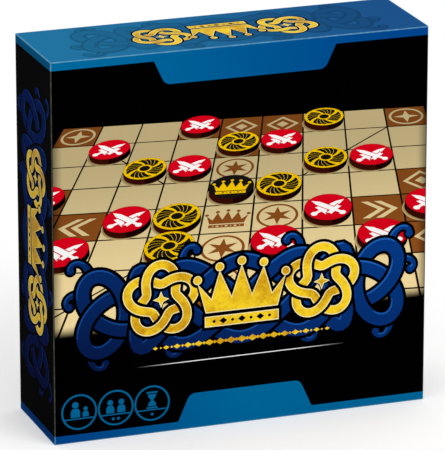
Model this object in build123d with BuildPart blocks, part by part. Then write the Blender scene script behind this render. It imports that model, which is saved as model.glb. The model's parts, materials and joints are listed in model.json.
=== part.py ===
"""A hnefatafl travel set in its carton.

The carton is a set-up box: a greyboard lid and a greyboard base, each folded from one
scored blank and covered by a sheet of printed paper that is turned in over the rim. It
stands upright on one side, as on a shelf, with the lid's panel facing the front. Inside,
from the back to the front, lie a folded card platform, a die-cut deck whose windows seat
the twenty-five discs in the opening position of the game, the playing board of nine by
nine squares, and the folded sheet of rules.

Millimetres, +Z up, the front at -Y. The origin is on the table, below the middle of the
carton. Levels are counted from the carton's back face towards its front.
"""

import os

from build123d import *

# Playing board and discs
cells_per_side = 9
cell_size = 20.0
disc_margin = 1.0
disc_thickness = 2.5
core_thickness = 2.0
sheet_thickness = 0.2
face_turn_in = 12.0
lining_margin = 2.0

# Carton
box_depth = 55.0
greyboard = 1.5
wrap = 0.2
wrap_turn_in = 15.0
fold_radius = 0.4
corner_slit = 0.2
thumb_radius = 12.0
lid_clearance = 0.4
board_clearance = 0.8
base_setback = 1.8
skirt_setback = 0.3

# Insert
insert_clearance = 0.3
card = 1.0
card_fold_radius = 0.6
deck_thickness = 3.0
seat_clearance = 0.4
seat_nib = 0.6
seat_web = 2.0
finger_slot = 10.0

# Rules
leaflet_width = 105.0
leaflet_height = 148.0
leaflet_paper = 0.12
leaflet_fold_gap = 0.2

# Gaps between the layers that lie on each other
lay_gap = 0.3
disc_gap = 0.25

# Sizes that follow from the playing board outwards
board_side = cells_per_side * cell_size
tray_wall = 2 * wrap + greyboard
base_clear = board_side + 2 * board_clearance
base_side = base_clear + 2 * tray_wall
lid_clear = base_side + 2 * lid_clearance
box_side = lid_clear + 2 * tray_wall
insert_side = base_clear - 2 * insert_clearance
centre_height = box_side / 2

# Levels, from the back face forwards
board_thickness = core_thickness + 3 * sheet_thickness
leaflet_thickness = 2 * leaflet_paper + leaflet_fold_gap
base_floor = wrap + greyboard
lid_ceiling = box_depth - wrap - greyboard
base_depth = lid_ceiling - base_setback
leaflet_back = lid_ceiling - lay_gap - leaflet_thickness
board_front = leaflet_back - lay_gap
board_back = board_front - board_thickness
deck_top = board_back - lay_gap
platform_top = deck_top - deck_thickness
platform_foot = base_floor + lay_gap

# Seats of the opening position, counted from the king in the middle
disc_diameter = cell_size - 2 * disc_margin
seat_diameter = disc_diameter + 2 * seat_clearance
seat_pitch = seat_diameter + seat_nib
stem_distance = 2 * seat_pitch + seat_diameter + seat_web
row_distance = stem_distance + seat_pitch


def level(height):
    """The plane at a height above the back face, looking towards the front."""
    return Plane(
        origin=(0, box_depth / 2 - height, centre_height),
        x_dir=(1, 0, 0),
        z_dir=(0, -1, 0),
    )


def level_facing_back(height):
    """The same plane, looking towards the back."""
    return Plane(
        origin=(0, box_depth / 2 - height, centre_height),
        x_dir=(-1, 0, 0),
        z_dir=(0, 1, 0),
    )


def on_all_sides(*points):
    """Points for the upper side of a square, repeated for its four sides."""
    return [Vector(*point).rotate(Axis.Z, 90 * turn) for turn in range(4) for point in points]


def folded_block(closed_end, side, depth, radius):
    """A square block whose closed end has the rounded edges of board folded along a score."""
    with BuildPart() as block:
        with BuildSketch(closed_end):
            Rectangle(side, side)
        extrude(amount=depth)
        closed_face = block.faces().sort_by(Axis(closed_end.origin, closed_end.z_dir))[0]
        fillet(closed_face.edges(), radius)
    return block.part


def folded_tray(closed_end, side, depth, thickness, radius):
    """A tray folded from one blank: a panel and four walls, with a slit at each corner.

    The walls at the left and right run through, and the two others butt against them.
    """
    inner = side - 2 * thickness
    slit_x = (inner - corner_slit) / 2
    slit_y = (side - thickness) / 2
    with BuildPart() as tray:
        add(folded_block(closed_end, side, depth, radius))
        with BuildSketch(closed_end.offset(thickness)):
            Rectangle(inner, inner)
            with GridLocations(2 * slit_x, 2 * slit_y, 2, 2):
                Rectangle(corner_slit, thickness)
        extrude(amount=depth - thickness, mode=Mode.SUBTRACT)
    return tray.part


def covered_tray(closed_end, side, depth):
    """The greyboard of a lid or base that measures side and depth over its paper."""
    return folded_tray(
        closed_end.offset(wrap), side - 2 * wrap, depth - 2 * wrap, greyboard, fold_radius
    )


def paper_cover(closed_end, side, depth):
    """The printed paper over a covered tray, turned in over the rim and down inside it."""
    board_inner = side - 2 * (wrap + greyboard)
    clear = board_inner - 2 * wrap
    with BuildPart() as cover:
        add(folded_block(closed_end, side, depth, fold_radius + wrap))
        add(
            folded_block(closed_end.offset(wrap), side - 2 * wrap, depth - 2 * wrap, fold_radius),
            mode=Mode.SUBTRACT,
        )
        with BuildSketch(closed_end.offset(depth)):
            Rectangle(board_inner, board_inner)
        extrude(amount=-wrap_turn_in)
        with BuildSketch(closed_end.offset(depth)):
            Rectangle(clear, clear)
        extrude(amount=-wrap_turn_in, mode=Mode.SUBTRACT)
    return cover.part


def thumb_notches():
    """A bar across the base's rim, whose lower half cuts a thumb notch in both side walls."""
    with BuildPart() as bar:
        with BuildSketch(Plane.YZ):
            with Locations((box_depth / 2 - base_depth, centre_height)):
                Circle(thumb_radius)
        extrude(amount=box_side, both=True)
    return bar.part


def disc(seat):
    """One laser-cut plywood disc, square at its edge, lying in its seat on the platform."""
    with BuildPart() as piece:
        with BuildSketch(level(platform_top + disc_gap)):
            with Locations(seat):
                Circle(disc_diameter / 2)
        extrude(amount=disc_thickness)
    return piece.part


def write(part, name):
    """Labels a finished piece and writes it under its name."""
    part.label = name
    export_step(part, f"parts/{name}.step")


os.makedirs("parts", exist_ok=True)

# The lid's skirt stops just short of the back face, so that the base is what lies flat
lid_front = level_facing_back(box_depth)
lid_depth = box_depth - skirt_setback

with BuildPart() as lid_board:
    add(covered_tray(lid_front, box_side, lid_depth))
write(lid_board.part, "lid_board")

with BuildPart() as lid_wrap:
    add(paper_cover(lid_front, box_side, lid_depth))
write(lid_wrap.part, "lid_wrap")

# The base nests in the lid, and has thumb notches by which the playing board is lifted
base_back = level(0)

with BuildPart() as base_board:
    add(covered_tray(base_back, base_side, base_depth))
    add(thumb_notches(), mode=Mode.SUBTRACT)
write(base_board.part, "base_board")

with BuildPart() as base_wrap:
    add(paper_cover(base_back, base_side, base_depth))
    add(thumb_notches(), mode=Mode.SUBTRACT)
write(base_wrap.part, "base_wrap")

# The insert: a folded card platform that fills the depth, and the deck glued on it
with BuildPart() as insert_platform:
    add(
        folded_tray(
            level_facing_back(platform_top),
            insert_side,
            platform_top - platform_foot,
            card,
            card_fold_radius,
        )
    )
write(insert_platform.part, "insert_platform")

# Seats: the king's, eight defenders' in a cross, and four groups of attackers
defender_seats = on_all_sides((0, seat_pitch), (0, 2 * seat_pitch))
attacker_seats = on_all_sides(
    (0, stem_distance),
    (-seat_pitch, row_distance),
    (0, row_distance),
    (seat_pitch, row_distance),
)

with BuildPart() as insert_deck:
    with BuildSketch(level(platform_top)):
        Rectangle(insert_side, insert_side)
        with Locations((0, 0), *defender_seats, *attacker_seats):
            Circle(seat_diameter / 2, mode=Mode.SUBTRACT)
        # Finger slots join the seats of each group
        Rectangle(4 * seat_pitch, finger_slot, mode=Mode.SUBTRACT)
        Rectangle(finger_slot, 4 * seat_pitch, mode=Mode.SUBTRACT)
        with PolarLocations(row_distance, 4):
            Rectangle(finger_slot, 2 * seat_pitch, mode=Mode.SUBTRACT)
        with PolarLocations((stem_distance + row_distance) / 2, 4):
            Rectangle(seat_pitch, finger_slot, mode=Mode.SUBTRACT)
    extrude(amount=deck_thickness)
write(insert_deck.part, "insert_deck")

# The discs
write(disc((0, 0)), "king")
for number, seat in enumerate(defender_seats, start=1):
    write(disc(seat), f"defender_{number:02d}")
for number, seat in enumerate(attacker_seats, start=1):
    write(disc(seat), f"attacker_{number:02d}")

# The playing board: a core, the face sheet turned in over its edges, and the lining
core_back = board_back + 2 * sheet_thickness
turned_in_opening = board_side - 2 * face_turn_in

with BuildPart() as board_core:
    with BuildSketch(level(core_back)):
        Rectangle(board_side - 2 * sheet_thickness, board_side - 2 * sheet_thickness)
    extrude(amount=core_thickness)
write(board_core.part, "board_core")

with BuildPart() as board_face:
    with BuildSketch(level(core_back - sheet_thickness)):
        Rectangle(board_side, board_side)
    extrude(amount=core_thickness + 2 * sheet_thickness)
    add(board_core.part, mode=Mode.SUBTRACT)
    with BuildSketch(level(core_back - sheet_thickness)):
        Rectangle(turned_in_opening, turned_in_opening)
    extrude(amount=sheet_thickness, mode=Mode.SUBTRACT)
write(board_face.part, "board_face")

with BuildPart() as board_lining:
    with BuildSketch(level(core_back)):
        Rectangle(turned_in_opening, turned_in_opening)
    extrude(amount=-sheet_thickness)
    with BuildSketch(level(core_back - sheet_thickness)):
        Rectangle(board_side - 2 * lining_margin, board_side - 2 * lining_margin)
        Rectangle(
            turned_in_opening - 2 * sheet_thickness,
            turned_in_opening - 2 * sheet_thickness,
            mode=Mode.SUBTRACT,
        )
    extrude(amount=-sheet_thickness)
write(board_lining.part, "board_lining")

# The rules: one sheet folded once, its fold at the left
leaf_middle = box_depth / 2 - leaflet_back - leaflet_thickness / 2
leaf_offset = (leaflet_paper + leaflet_fold_gap) / 2
fold_x = -leaflet_width / 2 + leaflet_thickness / 2

with BuildPart() as rules_leaflet:
    with BuildSketch(Plane.XY.offset(centre_height - leaflet_height / 2)):
        with BuildLine():
            front_leaf = Line(
                (leaflet_width / 2, leaf_middle - leaf_offset), (fold_x, leaf_middle - leaf_offset)
            )
            fold = JernArc(front_leaf @ 1, (-1, 0), leaf_offset, -180)
            Line(fold @ 1, (leaflet_width / 2, leaf_middle + leaf_offset))
            offset(amount=leaflet_paper / 2)
        make_face()
    extrude(amount=leaflet_height)
write(rules_leaflet.part, "rules_leaflet")

print(f"carton {box_side:.1f} x {box_depth:.1f} x {box_side:.1f} mm, board {board_side:.1f} mm")
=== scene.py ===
"""A hnefatafl travel set: its prints, its finishes, and the light it stands in.

The carton, insert, board and discs come from the frame. Artwork is drawn flat, in
millimetres, as shapes laid one over another, and is then cut into one flush mosaic of inks,
so that each printed piece is a thin closed film that lies on what carries it. Spots on a
sheet are complex numbers: the real part runs across it and the imaginary part up it.
"""

import cmath
import json
import math

import bpy
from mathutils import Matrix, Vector
from mathutils.geometry import delaunay_2d_cdt


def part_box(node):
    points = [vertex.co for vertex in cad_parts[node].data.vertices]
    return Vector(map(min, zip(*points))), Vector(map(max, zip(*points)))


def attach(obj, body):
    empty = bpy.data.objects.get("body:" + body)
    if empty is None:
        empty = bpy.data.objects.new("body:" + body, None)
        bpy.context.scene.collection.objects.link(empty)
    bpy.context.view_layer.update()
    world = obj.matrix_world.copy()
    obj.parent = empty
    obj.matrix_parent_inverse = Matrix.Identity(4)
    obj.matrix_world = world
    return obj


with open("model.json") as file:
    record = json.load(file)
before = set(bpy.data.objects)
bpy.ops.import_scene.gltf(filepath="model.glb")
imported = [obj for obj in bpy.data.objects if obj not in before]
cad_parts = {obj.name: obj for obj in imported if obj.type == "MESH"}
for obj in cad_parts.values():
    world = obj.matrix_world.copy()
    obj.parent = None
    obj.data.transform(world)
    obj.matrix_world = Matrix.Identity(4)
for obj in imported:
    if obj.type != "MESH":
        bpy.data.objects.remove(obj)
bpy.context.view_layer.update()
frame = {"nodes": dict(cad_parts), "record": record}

MM = 0.001
FILM = 0.04 * MM
FULL_TURN = 2 * math.pi

# Sizes on the carton, in millimetres
EDGE_BAND = 4.2
TOP_TAB = {"left": -44.5, "right": 48.0, "depth": 16.0, "slant": 6.0}
FOOT_TAB = {"left": -33.0, "right": 36.5, "depth": 18.0, "slant": 6.5}
TAB_CORNER = 3.0
RULE_HALF = 55.0
CELLS = 9
CELL = 20.0
DISC_PRINT = 8.9

lid_low, lid_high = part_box("lid_wrap")
base_low, base_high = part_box("base_wrap")
board_low, board_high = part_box("board_face")
lining_low, lining_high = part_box("board_lining")
deck_low, deck_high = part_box("insert_deck")
rules_low, rules_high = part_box("rules_leaflet")
middle = (lid_low + lid_high) / 2
FRONT_HALF = (lid_high.x - lid_low.x) / 2 / MM
DEPTH_HALF = (lid_high.y - lid_low.y) / 2 / MM


# Shader maths


def ink(red, green, blue):
    """A printed colour, given as it looks on paper, as the light values a shader wants."""
    return tuple((part / 255) ** 2.2 for part in (red, green, blue)) + (1.0,)


class Value:
    """A shader number that takes part in ordinary arithmetic."""

    def __init__(self, finish, socket):
        self.finish = finish
        self.socket = socket

    def maths(self, operation, *operands):
        values = dict(enumerate(operands))
        return Value(
            self.finish,
            self.finish.node("ShaderNodeMath", {"operation": operation}, values),
        )

    def __add__(self, other):
        return self.maths("ADD", self, other)

    def __sub__(self, other):
        return self.maths("SUBTRACT", self, other)

    def __rsub__(self, other):
        return self.maths("SUBTRACT", other, self)

    def __mul__(self, other):
        return self.maths("MULTIPLY", self, other)

    def __truediv__(self, other):
        return self.maths("DIVIDE", self, other)

    def __abs__(self):
        return self.maths("ABSOLUTE", self)

    def least(self, other):
        return self.maths("MINIMUM", self, other)

    def most(self, other):
        return self.maths("MAXIMUM", self, other)

    def beyond(self, start, end):
        """Rises smoothly from 0 at start to 1 at end, or falls where start is the greater."""
        limits = {0: self, 1: start, 2: end} if start < end else {0: self, 1: end, 2: start}
        settings = {"interpolation_type": "SMOOTHSTEP", "clamp": True}
        rise = Value(self.finish, self.finish.node("ShaderNodeMapRange", settings, limits))
        return rise if start < end else 1 - rise

    __radd__ = __add__
    __rmul__ = __mul__


class Finish:
    """A material in the making, with one method that adds every kind of node."""

    def __init__(self, name):
        self.material = bpy.data.materials.new(name)
        self.material.use_nodes = True
        self.tree = self.material.node_tree
        self.tree.nodes.clear()
        self.shader = self.tree.nodes.new("ShaderNodeBsdfPrincipled")
        closing = self.tree.nodes.new("ShaderNodeOutputMaterial")
        self.tree.links.new(self.shader.outputs[0], closing.inputs[0])
        self.spot = self.node("ShaderNodeTexCoord", output="Object")
        self.x, self.y, self.z = [
            Value(self, self.node("ShaderNodeSeparateXYZ", values={0: self.spot}, output=axis)) / MM
            for axis in "XYZ"
        ]

    def node(self, kind, settings=None, values=None, output=0):
        """Adds a node, sets it up, fills its sockets and gives back one of its outputs."""
        made = self.tree.nodes.new(kind)
        for name, setting in (settings or {}).items():
            setattr(made, name, setting)
        self.fill(made, values or {})
        return made.outputs[output]

    def fill(self, node, values):
        """Gives the node's sockets their values or links."""
        for key, value in values.items():
            if isinstance(value, Value):
                value = value.socket
            if isinstance(value, bpy.types.NodeSocket):
                self.tree.links.new(value, node.inputs[key])
            else:
                node.inputs[key].default_value = value

    def set(self, **values):
        """Fills the sockets of the shader itself, with underscores for their spaces."""
        self.fill(self.shader, {name.replace("_", " "): value for name, value in values.items()})

    def noise(self, size, detail=2.0, stretch=(1, 1, 1)):
        """Soft random values about one half, with features of a size in millimetres."""
        scale = tuple(part / (size * MM) for part in stretch)
        mapped = self.node("ShaderNodeMapping", {"vector_type": "POINT"}, {0: self.spot, 3: scale})
        return Value(
            self, self.node("ShaderNodeTexNoise", None, {"Vector": mapped, "Scale": 1.0, "Detail": detail})
        )

    def mix(self, share, low, high):
        """A colour between two others."""
        return self.node(
            "ShaderNodeMix", {"data_type": "RGBA"}, {0: share, 6: low, 7: high}, output=2
        )

    def bump(self, height, depth):
        """Raises the surface by a height of 0 to 1 times a depth in millimetres."""
        normal = self.node("ShaderNodeBump", None, {"Distance": depth * MM, "Height": height})
        self.fill(self.shader, {"Normal": normal})


# Finishes

SATIN = {"Specular_IOR_Level": 0.001}
GLINT = {"Specular_IOR_Level": 0.012}


def laminate(finish, colour, dull=0.42, mottle=0.05):
    """Ink under a satin film: it is slightly uneven and keeps the skin of the board below."""
    grain = finish.noise(0.55, 3)
    swell = finish.noise(34)
    uneven = finish.mix(grain, (1 - mottle,) * 3 + (1,), (1, 1, 1, 1))
    tinted = finish.node(
        "ShaderNodeMix", {"data_type": "RGBA", "blend_type": "MULTIPLY"}, {0: 1.0, 6: colour, 7: uneven}, 2
    )
    finish.set(Base_Color=tinted, Roughness=dull + 0.08 * grain + 0.06 * swell)
    finish.bump(0.25 * grain + 4 * swell, 0.03)
    return finish


def plain_ink(name, colour, dull=0.42, **gloss):
    """One even ink on laminated paper."""
    finish = laminate(Finish(name), colour, dull)
    finish.set(**(gloss or SATIN))
    return finish.material


def band_blue(finish, shade=1.0):
    """The blue of the bands, tabs and narrow faces: teal at the upper left, deeper to the right.

    The lower half runs the other way, and faster. The top and bottom are paler, a painted sheen,
    and the left and right sides are darker, painted shade.
    """
    across = finish.x.beyond(-FRONT_HALF * 1.05, FRONT_HALF * 1.05)
    upper = finish.z.beyond(90, 100)
    share = across * upper + finish.x.beyond(FRONT_HALF * 0.1, -FRONT_HALF * 1.05) * (1 - upper)
    front, top, side = [
        finish.mix(share, *[tuple(part * shade for part in colour[:3]) + (1,) for colour in pair])
        for pair in (
            (ink(2, 103, 153), ink(3, 69, 136)),
            # the paler blues of the top and bottom faces: a painted sheen
            (ink(38, 118, 164), ink(31, 84, 140)),
            # the darker blues of the left and right faces: painted shade
            (ink(4, 78, 116), ink(8, 54, 110)),
        )
    ]
    # Painted shade on the left and right faces, painted sheen on the top and bottom
    colour = finish.mix((abs(finish.x)).beyond(FRONT_HALF - 0.5, FRONT_HALF - 0.1), front, side)
    return finish.mix(abs(finish.z - 95).beyond(94.5, 94.9), colour, top)


def blue_ink(name, shade=1.0):
    """The graded blue as an ink of its own, full or shaded for tone on tone."""
    finish = Finish(name)
    laminate(finish, band_blue(finish, shade))
    finish.set(**SATIN)
    return finish.material


def field_ink(name, far, near, grain_depth=0.05):
    """An ink of the pictured board: lighter towards the viewer, and lost in black at the foot."""
    finish = Finish(name)
    height = finish.z - 95
    colour = finish.mix(height.beyond(50, -35), far, near)
    edge = abs(finish.x).beyond(FRONT_HALF + 1, FRONT_HALF - 6)
    lit = height.beyond(-41.5, -35) * (0.25 + 0.75 * edge)
    colour = finish.mix(lit, ink(0, 0, 0), colour)
    laminate(finish, colour, mottle=grain_depth)
    finish.set(**SATIN)
    return finish.material


def gold_ink(name, bright, deep):
    """Gold colour: a broken shimmer from a bright yellow to a deep amber."""
    finish = Finish(name)
    shimmer = finish.noise(11, 3).beyond(0.36, 0.68)
    fleck = finish.noise(1.7, 4).beyond(0.42, 0.78)
    colour = finish.mix(shimmer * 0.66 + fleck * 0.34, bright, deep)
    laminate(finish, colour, dull=0.34, mottle=0.1)
    finish.set(**GLINT)
    return finish.material


def strand_ink(name, low, high):
    """A colour of the interlace: darker at the lower left, lighter at the upper right."""
    finish = Finish(name)
    share = finish.x.beyond(-FRONT_HALF, FRONT_HALF) * 0.6 + finish.z.beyond(25, 85) * 0.4
    laminate(finish, finish.mix(share, low, high))
    finish.set(**SATIN)
    return finish.material


def rule_ink():
    """White that fades into the black ground towards both ends of the rule."""
    finish = Finish("rule_ink")
    laminate(finish, finish.mix(abs(finish.x).beyond(RULE_HALF * 0.45, RULE_HALF), ink(240, 240, 240), ink(4, 4, 5)))
    finish.set(**SATIN)
    return finish.material


def wrap_paper(node, ground):
    """A lid's or base's printed paper: its ground, edge bands, and scuffed folds with a painted highlight."""
    finish = Finish(f"{node}_paper")
    low, high = [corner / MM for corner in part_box(node)]
    closed, rim = (low.y, high.y) if node.startswith("lid") else (high.y, low.y)
    banded = (95 - abs(finish.z - 95)).beyond(EDGE_BAND + 0.12, EDGE_BAND - 0.12)
    colour = finish.mix(banded, ground, band_blue(finish))
    to_side = high.x - abs(finish.x)
    to_end = (high.z - low.z) / 2 - abs(finish.z - 95)
    to_panel = abs(finish.y - closed)
    fold = to_side.most(to_panel).least(to_side.most(to_end)).least(to_end.most(to_panel))
    rub = finish.noise(2.6, 4).beyond(0.38, 0.72)
    # Every fold is lighter along its whole length: partly scuffed paper, partly a painted highlight
    worn_and_highlit_fold = fold.beyond(0.65, 0.3) * (0.4 + 0.25 * rub)
    at_rim = abs(finish.y - rim).beyond(1.4, 0.4) * rub * 0.4
    # Pale grey on black and pale blue on the bands: scuffed paper and painted highlight alike
    bared_and_highlit = finish.mix(banded, ink(94, 94, 86), ink(124, 178, 206))
    laminate(finish, finish.mix(worn_and_highlit_fold.most(at_rim), colour, bared_and_highlit))
    finish.set(**SATIN)
    return finish.material


def greyboard():
    """Recycled board: grey pulp with darker fibres and pale flecks."""
    finish = Finish("greyboard")
    cloud = finish.noise(7, 4)
    fibre = finish.noise(1.1, 4, (1, 1, 0.35)).beyond(0.56, 0.72)
    fleck = finish.noise(0.7, 1).beyond(0.68, 0.74)
    colour = finish.mix(cloud, ink(150, 145, 134), ink(176, 171, 160))
    colour = finish.mix(fibre * 0.6, colour, ink(118, 112, 102))
    colour = finish.mix(fleck * 0.7, colour, ink(205, 202, 194))
    finish.set(Base_Color=colour, Roughness=0.86 + 0.1 * cloud, Specular_IOR_Level=0.2)
    finish.bump(cloud * 0.6 + fibre, 0.05)
    return finish.material


def card(name, face, core, front, thickness):
    """Card seen from its printed face and, in the cuts, from its pulpy core."""
    finish = Finish(name)
    fibre = finish.noise(0.9, 4)
    layer = finish.noise(0.5, 2, (0.2, 3, 0.2))
    cut = finish.y.beyond(front + 0.1, front + 0.3) * finish.y.beyond(front + thickness - 0.1, front + thickness - 0.3)
    faced = finish.mix(fibre, face, tuple(min(1, part * 1.16) for part in face[:3]) + (1,))
    cored = finish.mix(layer, core, tuple(part * 0.72 for part in core[:3]) + (1,))
    finish.set(Base_Color=finish.mix(cut, faced, cored), Roughness=0.6 + 0.3 * fibre, Specular_IOR_Level=0.25)
    finish.bump(fibre + cut * layer, 0.03)
    return finish.material


def white_card():
    """White-lined folding card, a little fibrous and unevenly grey-white."""
    finish = Finish("white_card")
    fibre = finish.noise(0.8, 4)
    cloud = finish.noise(22)
    colour = finish.mix(cloud * 0.6 + fibre * 0.4, ink(212, 208, 198), ink(236, 233, 226))
    finish.set(Base_Color=colour, Roughness=0.66 + 0.2 * fibre, Specular_IOR_Level=0.3)
    finish.bump(fibre, 0.02)
    return finish.material


def rules_paper():
    """Thin uncoated paper with a faint print-through of grey."""
    finish = Finish("rules_paper")
    fibre = finish.noise(0.6, 4)
    cloud = finish.noise(12)
    colour = finish.mix(cloud * 0.5 + fibre * 0.5, ink(226, 224, 214), ink(246, 245, 239))
    finish.set(Base_Color=colour, Roughness=0.78 + 0.15 * fibre, Specular_IOR_Level=0.25)
    finish.bump(fibre, 0.012)
    return finish.material


def plywood_disc():
    """A laser-cut plywood disc: birch plies, browned almost black where the beam cut."""
    finish = Finish("plywood_disc")
    grain = finish.noise(1.5, 4, (1, 1, 0.12))
    scorch = finish.noise(0.9, 3, (1, 0.3, 1))
    back, front = [corner.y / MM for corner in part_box("king")][::-1]
    edge = finish.y.beyond(front + 0.02, front + 0.16) * finish.y.beyond(back - 0.02, back - 0.16)
    ply = (finish.y * 2.4).maths("SINE").beyond(-0.4, 0.8)
    wood = finish.mix(grain, ink(196, 160, 112), ink(222, 190, 144))
    burnt = finish.mix(ply * 0.5 + scorch * 0.5, ink(30, 12, 8), ink(86, 44, 24))
    finish.set(Base_Color=finish.mix(edge, wood, burnt), Roughness=0.55 + 0.3 * grain, Specular_IOR_Level=0.3)
    finish.bump(grain + edge * scorch, 0.03)
    return finish.material


SHADES = {
    "black": lambda: plain_ink("black_ink", ink(4, 4, 5)),
    "white": lambda: plain_ink("white_ink", ink(246, 246, 244)),
    "red": lambda: plain_ink("red_ink", ink(208, 8, 32)),
    "yellow": lambda: plain_ink("yellow_ink", ink(240, 192, 8)),
    "jet": lambda: plain_ink("jet_ink", ink(10, 6, 5)),
    "char": lambda: plain_ink("char_ink", ink(32, 12, 8)),
    "soot": lambda: plain_ink("soot_ink", ink(28, 26, 24)),
    "burnt": lambda: plain_ink("burnt_ink", ink(54, 20, 12)),
    "tan": lambda: plain_ink("tan_ink", ink(222, 204, 148)),
    "brown": lambda: plain_ink("brown_ink", ink(126, 70, 24)),
    "line": lambda: plain_ink("line_ink", ink(24, 18, 12)),
    "field_tan": lambda: field_ink("field_tan_ink", ink(184, 166, 122), ink(241, 217, 158)),
    "field_dusk": lambda: field_ink("field_dusk_ink", ink(160, 142, 100), ink(204, 178, 124)),
    "field_shade": lambda: field_ink("field_shade_ink", ink(138, 116, 76), ink(164, 138, 90)),
    "field_brown": lambda: field_ink("field_brown_ink", ink(118, 68, 30), ink(140, 80, 34)),
    "field_line": lambda: field_ink("field_line_ink", ink(22, 18, 14), ink(34, 28, 20)),
    "blue": lambda: blue_ink("band_blue_ink"),
    "blue_shade": lambda: blue_ink("blue_shade_ink", 0.8),
    "blue_deep": lambda: blue_ink("blue_deep_ink", 0.62),
    "gold": lambda: gold_ink("gold_ink", ink(255, 216, 44), ink(188, 122, 18)),
    # A darker copy of the gold for the left and right faces: painted shade
    "side_gold": lambda: gold_ink("side_gold_in_painted_shade_ink", ink(216, 178, 34), ink(150, 96, 16)),
    "strand": lambda: strand_ink("strand_ink", ink(15, 27, 64), ink(14, 58, 128)),
    "strand_light": lambda: strand_ink("strand_light_ink", ink(18, 52, 112), ink(36, 98, 180)),
    # Darker copies of the strand and its glints for the left and right faces: painted shade
    "side_strand": lambda: strand_ink("side_strand_in_painted_shade_ink", ink(8, 18, 54), ink(8, 38, 96)),
    "side_light": lambda: strand_ink("side_light_in_painted_shade_ink", ink(12, 40, 92), ink(22, 72, 146)),
    "icon": lambda: plain_ink("icon_ink", ink(12, 98, 146)),
    "cream": lambda: plain_ink("cream_ink", ink(250, 236, 176)),
    # A darker copy of the cream for the left and right faces: painted shade
    "side_cream": lambda: plain_ink("side_cream_in_painted_shade_ink", ink(212, 198, 140)),
    "rule": rule_ink,
    "night": lambda: plain_ink("night_ink", ink(4, 10, 26)),
    "night_line": lambda: plain_ink("night_line_ink", ink(10, 42, 104)),
    "chart": lambda: plain_ink("chart_ink", ink(120, 84, 44), 0.7),
    "page": lambda: plain_ink("page_ink", ink(240, 238, 230), 0.8),
}
mixed_inks = {}


def shade(name):
    """The material of an ink, mixed the first time that it is asked for."""
    if name not in mixed_inks:
        mixed_inks[name] = SHADES[name]()
    return mixed_inks[name]


# Outlines


def at(spot, size=1.0, turn=0.0):
    """A placing that scales by size, turns by degrees and moves to a spot."""
    factor = cmath.rect(size, math.radians(turn))
    return lambda point: spot + point * factor


def circle(centre, radius, count=40):
    """A round outline."""
    return [centre + cmath.rect(radius, FULL_TURN * step / count) for step in range(count)]


def block(left, low, right, high):
    """An upright rectangle."""
    return [complex(left, low), complex(right, low), complex(right, high), complex(left, high)]


def sector(inner, outer, start, width, lean=0.0, count=10):
    """A slice of a ring between two radii, whose sides lean by some degrees on the way out."""
    steps = [step / count for step in range(count + 1)]
    turn = math.radians
    far = [cmath.rect(outer, turn(start + lean + width * step)) for step in steps]
    near = [cmath.rect(inner, turn(start + width * step)) for step in steps]
    between = [inner + (outer - inner) * step for step in (0.33, 0.67)]
    rising = [
        cmath.rect(radius, turn(start + lean * (radius - inner) / (outer - inner))) for radius in between
    ]
    falling = [point * cmath.rect(1, turn(width)) for point in reversed(rising)]
    return near[:1] + rising + far + falling + near[:0:-1]


def lozenge(centre, across, up):
    """A diamond."""
    return [centre + across, centre + up * 1j, centre - across, centre - up * 1j]


def star(centre, outer, inner, points, turn=90.0):
    """A pointed star."""
    return [
        centre + cmath.rect(inner if step % 2 else outer, math.radians(turn) + math.pi * step / points)
        for step in range(2 * points)
    ]


def side_line(path, reaches):
    """A line beside an open path, to its left by a reach at each spot, without folds at bends."""
    line, last = [], len(path) - 1
    for spot, point in enumerate(path):
        run = path[min(spot + 1, last)] - path[max(spot - 1, 0)]
        beside = point + run / abs(run) * 1j * reaches[spot]
        if all(abs(beside - other) > 0.97 * abs(reach) for other, reach in zip(path, reaches)):
            line.append(beside)
    return line


def ribbon(path, width):
    """The outline of a band along an open path. The width may be a list, one for each spot."""
    widths = width if isinstance(width, list) else [width] * len(path)
    right = side_line(path, [-part / 2 for part in widths])
    left = side_line(path, [part / 2 for part in widths])
    return untangled(right + left[::-1])


def untangled(outline):
    """An outline without the small loops where it crosses itself."""
    while pairs := crossings(outline):
        first, second = pairs[0]
        early, late = math.floor(first), math.floor(second)
        meeting = outline[early] + (outline[(early + 1) % len(outline)] - outline[early]) * (first - early)
        if late - early < len(outline) / 2:
            outline = outline[: early + 1] + [meeting] + outline[late + 1 :]
        else:
            outline = outline[early + 1 : late + 1] + [meeting]
    return outline


def outset(outline, distance):
    """An outline grown by a distance, its corners kept."""
    grown = []
    for spot, point in enumerate(outline):
        before = point - outline[spot - 1]
        after = outline[(spot + 1) % len(outline)] - point
        before, after = before / abs(before), after / abs(after)
        corner = -1j * (before + after)
        reach = distance / max(0.45, abs(corner) / 2)
        grown.append(point + corner / max(abs(corner), 1e-6) * reach)
    return grown


def tab(band_edge, tip, size):
    """A trapezoid that hangs from or stands on a band, with two rounded corners."""
    toward = 1 if tip > band_edge else -1
    corners = [
        complex(size["left"] + size["slant"], tip),
        complex(size["right"] - size["slant"], tip),
    ]
    feet = [complex(size["left"], band_edge - toward), complex(size["right"], band_edge - toward)]
    outline = [feet[0]] + rounded(feet[0], corners[0], corners[1], TAB_CORNER)
    outline += rounded(corners[0], corners[1], feet[1], TAB_CORNER) + [feet[1]]
    return outline


def rounded(before, corner, after, radius, count=6):
    """A corner as a smooth curve between two points at the radius from it."""
    start = corner + (before - corner) / abs(before - corner) * radius
    end = corner + (after - corner) / abs(after - corner) * radius
    return [
        start * (1 - t) ** 2 + corner * 2 * t * (1 - t) + end * t**2
        for t in [step / count for step in range(count + 1)]
    ]


def hull(points):
    """The convex outline around some points."""
    ordered = sorted(set(points), key=lambda p: (p.real, p.imag))
    sides = []
    for run in (ordered, ordered[::-1]):
        side = []
        for point in run:
            while len(side) > 1 and cross(side[-1] - side[-2], point - side[-1]) <= 0:
                side.pop()
            side.append(point)
        sides += side[:-1]
    return sides


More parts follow.
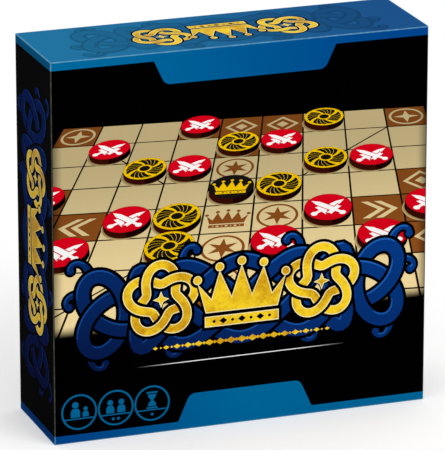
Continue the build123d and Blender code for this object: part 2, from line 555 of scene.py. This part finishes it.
def cross(one, other):
    """The turn from one direction to another, as their cross product."""
    return (one.conjugate() * other).imag


# Interlace. The drawn light falls from the upper left, and its glints lie just inside an edge

LIGHT = cmath.rect(1, math.radians(118))
GLINT_START = 0.3
GLINT_INSET = 0.55
GLINT_WIDTH = 0.8


def evenly(path, count):
    """A closed path with its spots the same distance apart, the first a little way along."""
    lengths = [abs(path[n] - path[n - 1]) for n in range(1, len(path))] + [abs(path[0] - path[-1])]
    total, spots, walked, leg = sum(lengths), [], 0.0, 0
    for step in range(count):
        goal = total * (step + 0.37) / count
        while walked + lengths[leg] < goal:
            walked += lengths[leg]
            leg += 1
        share = (goal - walked) / lengths[leg]
        spots.append(path[leg] * (1 - share) + path[(leg + 1) % len(path)] * share)
    return spots


def crossings(path):
    """Where a closed path crosses itself, as pairs of places counted in its steps."""
    found, count = [], len(path)
    for first in range(count):
        run = path[(first + 1) % count] - path[first]
        for second in range(first + 2, count - (first == 0)):
            other = path[(second + 1) % count] - path[second]
            gap = path[second] - path[first]
            turn = cross(run, other)
            if abs(gap) > abs(run) + abs(other) or not turn:
                continue
            along, beside = cross(gap, other) / turn, cross(gap, run) / turn
            if 0 <= along < 1 and 0 <= beside < 1:
                found.append((first + along, second + beside))
    return found


def stretch(path, start, end):
    """The part of a closed path between two places."""
    count = len(path)

    def spot(place):
        whole = math.floor(place)
        share = place - whole
        return path[whole % count] * (1 - share) + path[(whole + 1) % count] * share

    inner = range(math.floor(start) + 1, math.ceil(end))
    return [spot(start)] + [path[n % count] for n in inner] + [spot(end)]


def glints(path, widths, name):
    """Lines of light on a strand, along the edge that faces the light, strongest where square to it."""
    shapes = []
    for side in (-1, 1):
        edge = side_line(path, [side * (width / 2 - GLINT_INSET) for width in widths])
        run, reaches, last = [], [], len(edge) - 1
        for spot, point in enumerate(edge):
            along = edge[min(spot + 1, last)] - edge[max(spot - 1, 0)]
            facing = side * cross(along / abs(along), LIGHT) - GLINT_START
            if facing > 0:
                run.append(point)
                reaches.append(GLINT_WIDTH * min(1, 0.2 + 2 * facing))
            if len(run) > 3 and (facing <= 0 or spot == last):
                shapes.append((name, ribbon(run, reaches)))
            if facing <= 0:
                run, reaches = [], []
    return shapes


def interlace(path, layers, reach, light=None):
    """A closed strand that passes over and under itself in turn.

    Each layer is an ink and a width. The reach is half the length of strand that is drawn
    again over each crossing. A light is the ink of the glints on the last layer.
    """
    visits = sorted(place for pair in crossings(path) for place in pair)
    overs, unders = visits[0::2], visits[1::2]
    ends = unders[1:] + [unders[0] + len(path)]
    steps = reach / abs(path[1] - path[0])
    lower = [stretch(path, start, end) for start, end in zip(unders, ends)]
    upper = [stretch(path, place - steps, place + steps) for place in overs]
    shapes = []
    for group in [lower] + [[bit] for bit in upper]:
        for name, width in layers:
            shapes += [(name, ribbon(bit, width)) for bit in group]
        if light:
            for bit in group:
                shapes += glints(bit, [layers[-1][1]] * len(bit), light)
    return shapes


def plait(half_length, half_height, lobes, count=340, blunt=0.8):
    """A closed strand that weaves to and fro in a long panel."""
    def swing(angle):
        return math.asin(blunt * math.sin(angle)) / math.asin(blunt)

    turns = [FULL_TURN * step / (4 * count) for step in range(4 * count)]
    path = [complex(half_length * swing(2 * t), half_height * swing(lobes * t)) for t in turns]
    return evenly(path, count)


def trefoil(radius, count=90):
    """A strand with three loops."""
    turns = [FULL_TURN * step / (4 * count) for step in range(4 * count)]
    path = [
        complex(math.sin(t) + 2 * math.sin(2 * t), math.cos(t) - 2 * math.cos(2 * t)) * radius / 3
        for t in turns
    ]
    return evenly(path, count)


def rosette(radius, loops, depth=0.3, count=150):
    """A strand that runs twice round a ring, weaving through itself. The loops are odd."""
    turns = [2 * FULL_TURN * step / (4 * count) for step in range(4 * count)]
    path = [cmath.rect(radius * (1 - depth + depth * math.cos(loops * t / 2)), t) for t in turns]
    return evenly(path, count)


def tendril(start, heading, size, bend, width, count=16):
    """A tendril that rolls up as it goes and ends in a bulb: its path and its widths."""
    path, widths, spot, angle = [], [], start, math.radians(heading)
    for step in range(count + 1):
        share = step / count
        path.append(spot)
        widths.append(width * (1 - 0.45 * math.sin(math.pi * share * 0.8)))
        angle += bend * (0.06 + 0.3 * share)
        spot += cmath.rect(size * (1.2 - 0.6 * share) / count, angle)
    return path, widths


# Motifs


def crown():
    """A crown of five points, two units wide, with balls, gems and a banded foot."""
    spikes = range(-2, 3)
    body = [complex(-0.82, -0.36)]
    for spike in spikes:
        if spike > -2:
            body.append(complex(0.46 * (spike - 0.5), -0.02 - 0.02 * abs(spike - 0.5)))
        body.append(complex(0.5 * spike, 0.66 - 0.085 * spike**2))
    body.append(complex(0.82, -0.36))
    foot = block(-0.84, -0.68, 0.84, -0.44)
    balls = [circle(complex(0.5 * n, 0.74 - 0.085 * n**2), 0.1, 16) for n in spikes]
    return [body[::-1], foot] + balls


def crown_parts(name, grown):
    """The crown in one ink, grown or shrunk a little."""
    return [
        (name, circle(middle_of(part), 0.1 + grown, 20) if len(part) == 16 else outset(part, grown))
        for part in crown()
    ]


def crown_gems(name):
    """The gems in the crown's foot."""
    gems = [(name, lozenge(complex(0.42 * n, -0.56), 0.09, 0.07)) for n in (-1, 0, 1)]
    return gems + [(name, circle(complex(0.42 * n, -0.56), 0.035, 10)) for n in (-1.5, -0.5, 0.5, 1.5)]


def middle_of(outline):
    """The mean of an outline's points."""
    return sum(outline) / len(outline)


def sword():
    """A broad sword that points up the sheet, two units long: blade, guard, grip and pommel."""
    blade = [-0.15 - 0.3j, 0.15 - 0.3j, 0.14 + 0.56j, 0.92j, -0.14 + 0.56j]
    guard = [-0.38 - 0.44j, 0.38 - 0.44j, 0.33 - 0.34j, 0.4 - 0.22j, -0.4 - 0.22j, -0.33 - 0.34j]
    return [blade, guard, block(-0.08, -0.68, 0.08, -0.4), circle(-0.78j, 0.15, 16)]


def attacker_face():
    """A red disc with two white swords crossed."""
    shapes = [("red", circle(0, 1, 72))]
    for turn in (-52, 52):
        parts = [("red", outset(part, 0.05)) for part in sword()] + [("white", part) for part in sword()]
        shapes += moved(parts, at(-0.02j, 0.96, turn))
    return shapes


def defender_face():
    """A round shield: a black field with a yellow whirl, yellow seams, a riveted rim and a boss."""
    shapes = [("yellow", circle(0, 1, 72)), ("soot", circle(0, 0.87, 64))]
    for quarter in range(4):
        shapes.append(("yellow", sector(0.24, 0.9, 90 * quarter, 15, 34)))
        shapes += [("yellow", sector(0.3, 0.89, 90 * quarter + seam, 2, 34)) for seam in (33, 51, 69)]
    shapes += [("soot", circle(cmath.rect(0.935, FULL_TURN * n / 16), 0.024, 8)) for n in range(16)]
    return shapes + [("yellow", circle(0, 0.34, 32)), ("soot", circle(0, 0.25, 28))]


def king_face():
    """A black disc with a golden crown."""
    return [("soot", circle(0, 1, 72))] + moved(crown_parts("yellow", 0.0) + crown_gems("soot"), at(-0.05j, 0.8))


def draughts_face(ground, rings):
    """The plain side of a disc: turned rings, as on a draughtsman."""
    shapes = [(ground, circle(0, 1, 72))]
    for radius in (0.82, 0.56, 0.3):
        shapes += [(rings, circle(0, radius, 56)), (ground, circle(0, radius - 0.07, 52))]
    return shapes


FACES = {"attacker": attacker_face, "defender": defender_face, "king": king_face}
BACKS = {"attacker": ("red", "white"), "defender": ("yellow", "soot"), "king": ("soot", "yellow")}


def camp_squares():
    """The squares of the four attackers' camps, counted from the throne."""
    squares = []
    for quarter in range(4):
        turn = 1j**quarter
        squares += [(spot * turn, quarter) for spot in (3j, 4j, -1 + 4j, 1 + 4j)]
    return squares


def tafl_board(tan, brown, line, thin=0.013, upright=0.013):
    """A tafl board with squares of one unit, its throne in the middle of the sheet."""
    edge = CELLS / 2
    cells = [(tan, block(-edge, -edge, edge, edge))]
    corners = [complex(4 * across, 4 * up) for across in (-1, 1) for up in (-1, 1)]
    dark = corners + [spot for spot, _ in camp_squares()]
    for spot in dark:
        cells.append((brown, block(spot.real - 0.5, spot.imag - 0.5, spot.real + 0.5, spot.imag + 0.5)))
    for corner in corners:
        cells += ring(corner, 0.42, 0.36, tan, brown)
        cells.append((tan, star(corner, 0.31, 0.1, 4)))
    for spot, quarter in camp_squares():
        if abs(spot) == 3:
            chevron = [-0.3 - 0.16j, 0.16j, 0.3 - 0.16j, 0.3 - 0.02j, 0.3j, -0.3 - 0.02j]
            for lift in (-0.16j, 0.1j):
                cells.append((tan, [spot + (p + lift) * 1j**quarter for p in chevron][::-1]))
        else:
            cells += [(tan, lozenge(spot, 0.4, 0.4)), (brown, lozenge(spot, 0.3, 0.3))]
            cells.append((tan, lozenge(spot, 0.15, 0.15)))
    cells += moved(crown_parts(brown, 0.0) + crown_gems(tan), at(-0.02j, 0.42))
    for quarter in range(4):
        for distance in (1, 2):
            spot = distance * 1j**quarter
            cells += ring(spot, 0.42, 0.365, brown, tan) + [(brown, star(spot, 0.32, 0.12, 6))]
    for step in range(CELLS + 1):
        level = step - edge
        cells.append((line, block(-edge, max(level - thin, -edge), edge, min(level + thin, edge))))
        cells.append((line, block(max(level - upright, -edge), -edge, min(level + upright, edge), edge)))
    for quarter in range(4):
        spoke = [(1.5 + 1.5j) * 1j**quarter, (3.5 + 3.5j) * 1j**quarter]
        cells.append((line, ribbon(spoke, 2 * thin)))
    return cells


def ring(centre, outer, inner, name, ground):
    """A ring on a plain ground."""
    return [(name, circle(centre, outer, 40)), (ground, circle(centre, inner, 36))]


def title_ornament(outline, cream="cream", gold="gold"):
    """The gold emblem that heads each face: a crown between two interlaced rosettes."""
    strand = 4.6
    layers = [("black", strand + 2 * outline), (cream, strand), (gold, strand - 0.9)]
    shapes = []
    for side in (-1, 1):
        spot = 41.0 * side
        shapes += moved(interlace(rosette(17.6, 5, 0.28), layers, strand * 0.9), at(spot, 1, 90))
        shapes += [("black", star(spot, 5.2, 2.4, 4)), (cream, star(spot, 4.2, 1.7, 4))]
        shapes.append((gold, star(spot, 3.2, 1.2, 4)))
    crown_size = 22.5
    rims = (("black", outline), (cream, 0.0), (gold, -0.45))
    for name, grown in rims:
        shapes += moved(crown_parts(name, grown / crown_size), at(-1.6j, crown_size))
    return shapes + moved(crown_gems("black"), at(-1.6j, crown_size))


def moved(shapes, place):
    """Shapes taken to their place on a sheet."""
    return [(name, [place(point) for point in outline]) for name, outline in shapes]


def chain(half_length, count, size, name):
    """A row of small lozenges with dots between them, smaller towards both ends."""
    shapes = []
    for step in range(-count, count + 1):
        spot = half_length * step / count
        taper = 1 - 0.5 * (abs(step) / count) ** 2
        if step % 2:
            shapes.append((name, circle(spot, size * 0.3 * taper, 14)))
        else:
            shapes.append((name, lozenge(spot, size * taper, size * 0.62 * taper)))
    return shapes


# The tendrils of the interlace's right half, from its loops: start, heading, length and bend
TENDRILS = (
    (76.5 + 18.2j, 85, 19, -1),
    (80.6 + 10.2j, 20, 14, -1),
    (76.5 - 18.2j, -80, 17, -1),
    (29.5 + 19.5j, 75, 17, 1),
    (29.5 - 19.5j, -75, 14, 1),
)


def band_of_knots(edge, body, light):
    """The wide interlace behind the title ornament, with a looped knot and tendrils at each end."""
    strand = 6.6
    layers = [(edge, strand + 3.0), (body, strand)]
    shapes = []
    for side in (-1, 1):
        for start, heading, size, bend in TENDRILS:
            path, widths = tendril(start, heading, size, bend, 4.4)
            if side < 0:
                path = [-point.conjugate() for point in path]
            for name, extra in ((edge, 2.6), (body, 0.0)):
                shapes.append((name, ribbon(path, [width + extra for width in widths])))
                shapes.append((name, circle(path[-1], (widths[-1] * 1.15 + extra) / 2, 20)))
            shapes += glints(path, widths, light)
        place = at(66.0 * side, 1, -90 * side)
        shapes += interlace([place(point) for point in trefoil(21.0, 120)], layers, strand, light)
    return shapes + interlace(plait(54.0, 19.5, 5, blunt=0.7), layers, strand, light)


# Sheets of artwork

LEFT, RIGHT, FORWARD, UP, DOWN = (-1, 0, 0), (1, 0, 0), (0, -1, 0), (0, 0, 1), (0, 0, -1)


class Panel:
    """A flat face of the set: where its artwork is centred, and which way it runs."""

    def __init__(self, centre, across, up):
        self.centre = Vector(centre)
        self.across = Vector(across)
        self.up = Vector(up)
        self.out = self.across.cross(self.up)

    def point(self, spot):
        """The place of a spot of the artwork, on top of the film."""
        return self.centre + (self.across * spot.real + self.up * spot.imag) * MM + self.out * FILM


class Artwork:
    """Shapes laid one over another on a sheet, each belonging to a piece."""

    def __init__(self, window=None):
        self.shapes = []
        self.window = window
        if window:
            self.shapes.append((None, None, window))

    def lay(self, piece, shapes, place=at(0)):
        """Lays a motif's shapes on top of what is there."""
        for name, outline in shapes:
            spots = [place(point) for point in outline]
            turn = sum(cross(spots[n - 1], spots[n]) for n in range(len(spots)))
            self.shapes.append((piece, name, spots if turn > 0 else spots[::-1]))

    def cut(self):
        """Cuts the sheet where outlines cross, and keeps the uppermost ink of each bit."""
        points, outlines = [], []
        for _, _, outline in self.shapes:
            outlines.append(list(range(len(points), len(points) + len(outline))))
            points += [Vector((round(spot.real, 3), round(spot.imag, 3))) for spot in outline]
        spots, _, triangles, _, _, owners = delaunay_2d_cdt(points, [], outlines, 1, 2e-3)
        pieces = {}
        for triangle, owner in zip(triangles, owners):
            piece, name, _ = self.shapes[max(owner, default=0)]
            if piece and owner and (not self.window or 0 in owner):
                pieces.setdefault(piece, []).append((name, triangle))
        return [complex(*spot) for spot in spots], pieces

    def print_on(self, panel, body):
        """Makes a thin film of each piece and lets it ride on its body."""
        spots, pieces = self.cut()
        return [film(name, spots, bits, panel, body) for name, bits in pieces.items()]


def film(name, spots, bits, panel, body):
    """One printed film: bits of ink side by side, given their thickness towards the panel."""
    used = sorted({corner for _, triangle in bits for corner in triangle})
    place = {corner: order for order, corner in enumerate(used)}
    inks = sorted({colour for colour, _ in bits})
    mesh = bpy.data.meshes.new(name)
    mesh.from_pydata(
        [panel.point(spots[corner]) for corner in used],
        [],
        [[place[corner] for corner in triangle] for _, triangle in bits],
    )
    for colour in inks:
        mesh.materials.append(shade(colour))
    for face, (colour, _) in zip(mesh.polygons, bits):
        face.material_index = inks.index(colour)
    piece = bpy.data.objects.new(name, mesh)
    bpy.context.scene.collection.objects.link(piece)
    apply_modifier(piece, "DECIMATE", decimate_type="DISSOLVE", delimit={"MATERIAL"}, angle_limit=0.01)
    apply_modifier(piece, "SOLIDIFY", thickness=FILM, offset=-1)
    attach(piece, body)
    return piece


def apply_modifier(piece, kind, **settings):
    """Adds a modifier to a piece and applies it."""
    modifier = piece.modifiers.new(kind.lower(), kind)
    for name, value in settings.items():
        setattr(modifier, name, value)
    bpy.ops.object.select_all(action="DESELECT")
    bpy.context.view_layer.objects.active = piece
    piece.select_set(True)
    bpy.ops.object.modifier_apply(modifier=modifier.name)


def facing_forward(low, high):
    """The panel on the front of a piece."""
    return Panel(((low.x + high.x) / 2, low.y, (low.z + high.z) / 2), RIGHT, UP)


def facing_back(low, high):
    """The panel on the back of a piece."""
    return Panel(((low.x + high.x) / 2, high.y, (low.z + high.z) / 2), LEFT, UP)


# The carton's panels. On the four narrow faces the artwork's head is towards the front.

front_panel = Panel((middle.x, lid_low.y, middle.z), RIGHT, UP)
narrow_panels = {
    "left": Panel((lid_low.x, middle.y, middle.z), DOWN, FORWARD),
    "right": Panel((lid_high.x, middle.y, middle.z), UP, FORWARD),
    "top": Panel((middle.x, middle.y, lid_high.z), LEFT, FORWARD),
    "bottom": Panel((middle.x, middle.y, lid_low.z), RIGHT, FORWARD),
}

# The pictured board: seen from above at an angle, and turned a little
PICTURE = {"tilt": 33.0, "turn": -5.0, "distance": 14.6, "size": 372.0, "centre": -7.5 + 9.5j}
PICTURE_FOOT = -42.0
PICTURED_DISC = 0.475
PICTURED_THICKNESS = 0.13
PICTURED_GAME = {
    "attacker": (
        (0, 5), (1, 7), (2, 4), (3, 6), (3, 8), (5, 7), (6, 4), (7, 6), (8, 4), (1, 3), (7, 3), (5, 3),
    ),
    "defender": ((2, 6), (3, 4), (4, 7), (5, 5), (6, 6), (3, 3), (6, 8)),
    "king": ((4, 5),),
}


def pictured(point, height=0.0):
    """Where a point of the pictured board falls on the front, in perspective."""
    turned = point * cmath.rect(1, math.radians(PICTURE["turn"]))
    tilt = math.radians(PICTURE["tilt"])
    away = PICTURE["distance"] + turned.imag * math.cos(tilt) - height * math.sin(tilt)
    rise = turned.imag * math.sin(tilt) + height * math.cos(tilt)
    return complex(turned.real, rise) * PICTURE["size"] / away + PICTURE["centre"]


def pictured_disc(kind, centre):
    """A disc of the pictured game: its soft shade at the left, its edge, paler in front, and its face."""
    rim = [pictured(point) for point in circle(centre, PICTURED_DISC, 40)]
    top = [pictured(point, PICTURED_THICKNESS) for point in circle(centre, PICTURED_DISC, 40)]
    shapes = [("field_dusk", [point - (1.1 + 0.7j) for point in rim])]
    shapes.append(("field_shade", [point - (0.6 + 0.4j) for point in rim]))
    for name, first, last in (("jet", 0, 40), ("char", 20, 36), ("burnt", 22, 32)):
        shapes.append((name, hull(rim[first:last] + top[first:last])))
    for name, outline in FACES[kind]():
        face = [pictured(centre + point * PICTURED_DISC * 0.985, PICTURED_THICKNESS) for point in outline]
        shapes.append((name, face))
    return shapes


def lay_picture(front):
    """Draws the board in play on the front sheet, the far discs first."""
    front.lay("front_field", moved(tafl_board("field_tan", "field_brown", "field_line", 0.02, 0.02), pictured))
    discs = [(kind, complex(across - 4, up - 4)) for kind in PICTURED_GAME for across, up in PICTURED_GAME[kind]]
    discs.sort(key=lambda disc: -pictured(disc[1]).imag)
    for number, (kind, centre) in enumerate(discs, start=1):
        front.lay(f"front_disc_{number:02d}", pictured_disc(kind, centre))


ICON_SPOTS = (-82.6 - 79.5j, -64.2 - 79.5j, -45.8 - 79.5j)
ICON_RADIUS = 9.0


def pawn(spot, size):
    """A playing figure: a head above a rounded body."""
    body = [complex(-0.42, 0), complex(0.42, 0), 0.42 + 0.5j, 0.28 + 0.78j, -0.28 + 0.78j, -0.42 + 0.5j]
    return [circle(spot + 1.12j * size, 0.3 * size, 24), [spot + point * size for point in body]]


def sandglass(spot, size):
    """Two bulbs between two bars."""
    glass = [-0.62 + 0.86j, -0.5 + 0.4j, -0.14 + 0j, -0.5 - 0.4j, -0.62 - 0.86j]
    glass += [-point.conjugate() for point in reversed(glass)]
    bars = [block(-0.8, 1, 0.8, 1.24), block(-0.8, -1.24, 0.8, -1)]
    return [[spot + point * size for point in part] for part in [glass, *bars]]


def icon_shapes(spot, parts, pips):
    """A ring with a ground line, a figure above it and pips below."""
    shapes = [("icon", circle(spot, ICON_RADIUS, 64)), ("black", circle(spot, ICON_RADIUS - 0.9, 60))]
    half = ICON_RADIUS * 0.86
    shapes.append(("icon", block(spot.real - half, spot.imag - 3.7, spot.real + half, spot.imag - 3.1)))
    shapes += [("icon", part) for part in parts]
    for pip in range(pips):
        shapes.append(("icon", circle(spot + (pip - (pips - 1) / 2) * 2.6 - 5.6j, 0.75, 16)))
    return shapes


def print_front():
    """The front: tabs on the bands, the board in play, the interlace, the ornament and icons."""
    inner = FRONT_HALF - 0.6
    front = Artwork(block(-inner, -inner, inner, inner))
    picture = Artwork(block(-inner, PICTURE_FOOT, inner, inner))
    lay_picture(picture)
    head, foot = FRONT_HALF - EDGE_BAND, EDGE_BAND - FRONT_HALF
    front.lay("front_tabs", [("blue", tab(head, FRONT_HALF - TOP_TAB["depth"], TOP_TAB))])
    front.lay("front_tabs", [("blue", tab(foot, FOOT_TAB["depth"] - FRONT_HALF, FOOT_TAB))])
    front.lay("front_interlace", band_of_knots("black", "strand", "strand_light"), at(-31.5j, 1.0))
    front.lay("front_ornament", title_ornament(1.5), at(-27.5j))
    front.lay("front_chain", chain(44, 16, 2.6, "gold"), at(-52j))
    front.lay("front_rule", [("rule", block(-RULE_HALF, -0.22, RULE_HALF, 0.22))], at(-2.5 - 60.5j))
    figures = (
        pawn(ICON_SPOTS[0] - 1.9 - 2.6j, 5.6) + pawn(ICON_SPOTS[0] + 3.2 - 2.6j, 3.6),
        pawn(ICON_SPOTS[1] - 2.8 - 2.6j, 4.8) + pawn(ICON_SPOTS[1] + 2.8 - 2.6j, 4.8),
        sandglass(ICON_SPOTS[2] + 1.6j, 3.5),
    )
    for spot, parts, pips in zip(ICON_SPOTS, figures, (0, 2, 1)):
        front.lay("front_icons", icon_shapes(spot, parts, pips))
    front.shapes = front.shapes[:1] + picture.shapes[1:] + front.shapes[1:]
    front.print_on(front_panel, "lid")


def print_narrow_faces():
    """The four narrow faces: the interlace, tone on tone on the blue ones, and the ornament."""
    narrow = Vector((FRONT_HALF - 0.6, DEPTH_HALF - 0.9))
    for side, panel in narrow_panels.items():
        pale = side in ("top", "bottom")
        # The left and right faces take darker copies of the strand inks: painted shade
        tones = ("blue_deep", "blue_shade", "blue_deep") if pale else ("black", "side_strand", "side_light")
        sheet = Artwork(block(-narrow.x, -narrow.y, narrow.x, narrow.y))
        sheet.lay(f"{side}_interlace", band_of_knots(*tones), at(0, 0.86))
        # The left and right faces take darker copies of the cream and gold: painted shade
        golds = ("cream", "gold") if pale else ("side_cream", "side_gold")
        sheet.lay(f"{side}_ornament", title_ornament(1.3, *golds), at(2.0j, 0.77))
        sheet.print_on(panel, "lid")


def print_back():
    """The back of the base: the two tabs and a dark interlace on black."""
    half = (base_high.x - base_low.x) / 2 / MM - 0.6
    sheet = Artwork(block(-half, -half, half, half))
    head = half + 0.6 + base_low.z / MM - EDGE_BAND
    for tip, size in ((head - 12, TOP_TAB), (12 - head, FOOT_TAB)):
        sheet.lay("back_tabs", [("blue", tab(math.copysign(head, tip), tip, size))])
    sheet.lay("back_interlace", band_of_knots("night_line", "night", "night_line"))
    sheet.print_on(facing_back(base_low, base_high), "base")


print_front()
print_narrow_faces()


# The board, the discs, the deck and the rules


def print_board():
    """The tafl field on the board's face, and a chequered field on its back."""
    face = Artwork()
    face.lay("tafl_field", tafl_board("tan", "brown", "line"), at(0, CELL * 0.998))
    face.print_on(facing_forward(board_low, board_high), "board")
    back = Artwork()
    square, count = 20.5, 8
    half = square * count / 2
    back.lay("chequer_field", [("brown", block(-half - 1.6, -half - 1.6, half + 1.6, half + 1.6))])
    back.lay("chequer_field", [("tan", block(-half - 0.8, -half - 0.8, half + 0.8, half + 0.8))])
    for across in range(count):
        for up in range(across % 2, count, 2):
            left, low = across * square - half, up * square - half
            back.lay("chequer_field", [("brown", block(left, low, left + square, low + square))])
    back.print_on(facing_back(lining_low, lining_high), "board")


def print_discs():
    """Both sides of every disc."""
    for body, nodes in frame["record"]["behaviour"]["bodies"].items():
        node = nodes[0]
        kind = node.split("_")[0]
        if kind not in FACES:
            continue
        low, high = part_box(node)
        for side, panel, shapes in (
            ("face", facing_forward(low, high), FACES[kind]()),
            ("back", facing_back(low, high), draughts_face(*BACKS[kind])),
        ):
            sheet = Artwork()
            sheet.lay(f"{node}_{side}", shapes, at(0, DISC_PRINT))
            sheet.print_on(panel, body)


def print_deck():
    """A tone-on-tone knot in each free corner of the deck."""
    sheet = Artwork()
    layers = [("night_line", 3.4), ("strand", 2.2)]
    for across in (-1, 1):
        for up in (-1, 1):
            corner = at(complex(61 * across, 61 * up))
            sheet.lay("deck_knots", [("night_line", sector(20.8, 21.6, 0, 359.9, count=64))], corner)
            sheet.lay("deck_knots", interlace(rosette(18, 9, 0.3), layers, 3.0), corner)
    sheet.print_on(facing_forward(deck_low, deck_high), "insert")


def print_rules():
    """The first page of the rules: a frame and a chart of the opening position."""
    sheet = Artwork()
    frame_shapes = [("chart", block(-47, -68, 47, 68)), ("page", block(-46.3, -67.3, 46.3, 67.3))]
    chart = moved(tafl_board("page", "chart", "chart"), at(-8j, 9.2))
    for spot, _ in camp_squares():
        chart += [("page", circle(spot * 9.2 - 8j, 3.6, 24)), ("chart", circle(spot * 9.2 - 8j, 3.0, 24))]
    for quarter in range(4):
        for distance in (1, 2):
            chart += ring(distance * 9.2 * 1j**quarter - 8j, 3.2, 2.4, "chart", "page")
    chart += moved(crown_parts("chart", 0.0), at(-8j, 3.2))
    emblem = moved(crown_parts("chart", 0.0) + crown_gems("page"), at(50j, 11))
    sheet.lay("rules_chart", frame_shapes + chart + emblem)
    for level in (38, 61):
        sheet.lay("rules_chart", chain(36, 12, 1.6, "chart"), at(complex(0, level)))
    sheet.print_on(facing_forward(rules_low, rules_high), "leaflet")


print_back()
print_board()
print_discs()
print_deck()
print_rules()

# Finishes of the frame's own pieces


def give(material, *nodes):
    """Assigns a finish to some of the frame's pieces."""
    for node in nodes:
        slots = frame["nodes"][node].data.materials
        slots.clear()
        slots.append(material)


board_grey = greyboard()
for wrapped in ("lid_wrap", "base_wrap"):
    give(wrap_paper(wrapped, ink(3, 3, 4)), wrapped)
give(board_grey, "lid_board", "base_board", "board_core")
give(white_card(), "insert_platform")
give(card("deck_paper", ink(12, 30, 70), ink(150, 144, 132), deck_low.y / MM, 3.0), "insert_deck")
give(shade("tan"), "board_face", "board_lining")
give(rules_paper(), "rules_leaflet")
give(plywood_disc(), *[node for node in frame["nodes"] if node.split("_")[0] in FACES])


# The stage

STAGE_HALF = 14.0


def seen(finish):
    """1 where a surface is seen directly, in a reflection or through glass, and 0 for its light."""
    return [
        Value(finish, finish.node("ShaderNodeLightPath", output=kind))
        for kind in ("Is Camera Ray", "Is Glossy Ray", "Is Transmission Ray")
    ]


def make_floor():
    """A wide pale floor that is seen as white, and keeps the soft shadow."""
    bpy.ops.mesh.primitive_plane_add(size=2 * STAGE_HALF, location=(0, 0, -1.5 * FILM))
    floor = bpy.context.active_object
    floor.name = "floor"
    finish = Finish("floor_paint")
    camera, glossy, through = seen(finish)
    cloud = finish.noise(400, 2)
    finish.set(
        Base_Color=finish.mix(cloud, (0.86, 0.86, 0.86, 1), (0.88, 0.88, 0.88, 1)),
        Roughness=0.9,
        Specular_IOR_Level=0.0,
        Emission_Color=finish.mix(camera.most(glossy).most(through), (0, 0, 0, 1), (0.26, 0.26, 0.26, 1)),
        Emission_Strength=1.0,
    )
    floor.data.materials.append(finish.material)


def add_lamp(name, spot, size, power):
    """A soft square lamp that looks at the carton."""
    data = bpy.data.lights.new(name, "AREA")
    data.size, data.energy = size, power
    lamp = bpy.data.objects.new(name, data)
    lamp.location = spot
    lamp.rotation_mode = "QUATERNION"
    lamp.rotation_quaternion = (middle - Vector(spot)).to_track_quat("-Z", "Y")
    bpy.context.scene.collection.objects.link(lamp)


def light_world(strength):
    """An even pale surround, plain white where the camera or a reflection meets it."""
    world = bpy.data.worlds.new("surround")
    world.use_nodes = True
    nodes, links = world.node_tree.nodes, world.node_tree.links
    background = nodes["Background"]
    background.inputs["Color"].default_value = (1, 1, 1, 1)
    ray = nodes.new("ShaderNodeLightPath")
    either = nodes.new("ShaderNodeMath")
    either.operation = "MAXIMUM"
    links.new(ray.outputs["Is Camera Ray"], either.inputs[0])
    links.new(ray.outputs["Is Glossy Ray"], either.inputs[1])
    any_of_them = nodes.new("ShaderNodeMath")
    any_of_them.operation = "MAXIMUM"
    links.new(either.outputs[0], any_of_them.inputs[0])
    links.new(ray.outputs["Is Transmission Ray"], any_of_them.inputs[1])
    level = nodes.new("ShaderNodeMapRange")
    level.inputs["To Min"].default_value = strength
    level.inputs["To Max"].default_value = 1.0
    links.new(any_of_them.outputs[0], level.inputs["Value"])
    links.new(level.outputs[0], background.inputs["Strength"])
    bpy.context.scene.world = world


# The camera stands where the photograph was taken from
VIEW = {"azimuth": -19.75, "elevation": 17.96, "distance": 2.19, "aim": (0.0, 0.0, 0.092)}
FOCAL_PIXELS = 4527.0
PICTURE_HEIGHT = 450
SENSOR = 36.0


def make_camera():
    """The camera, aimed at the middle of the carton."""
    turn, rise = math.radians(VIEW["azimuth"]), math.radians(VIEW["elevation"])
    back = Vector((math.sin(turn) * math.cos(rise), -math.cos(turn) * math.cos(rise), math.sin(rise)))
    data = bpy.data.cameras.new("camera")
    data.sensor_width = SENSOR
    data.lens = FOCAL_PIXELS / PICTURE_HEIGHT * SENSOR
    data.clip_end = 100
    camera = bpy.data.objects.new("camera", data)
    camera.location = Vector(VIEW["aim"]) + back * VIEW["distance"]
    camera.rotation_mode = "QUATERNION"
    camera.rotation_quaternion = (-back).to_track_quat("-Z", "Y")
    bpy.context.scene.collection.objects.link(camera)
    bpy.context.scene.camera = camera


make_floor()
add_lamp("key", (0.8, -1.7, 1.7), 1.5, 18)
add_lamp("fill", (-1.7, -1.3, 1.0), 1.8, 5)
light_world(0.74)
make_camera()
bpy.context.scene.view_settings.view_transform = "Standard"
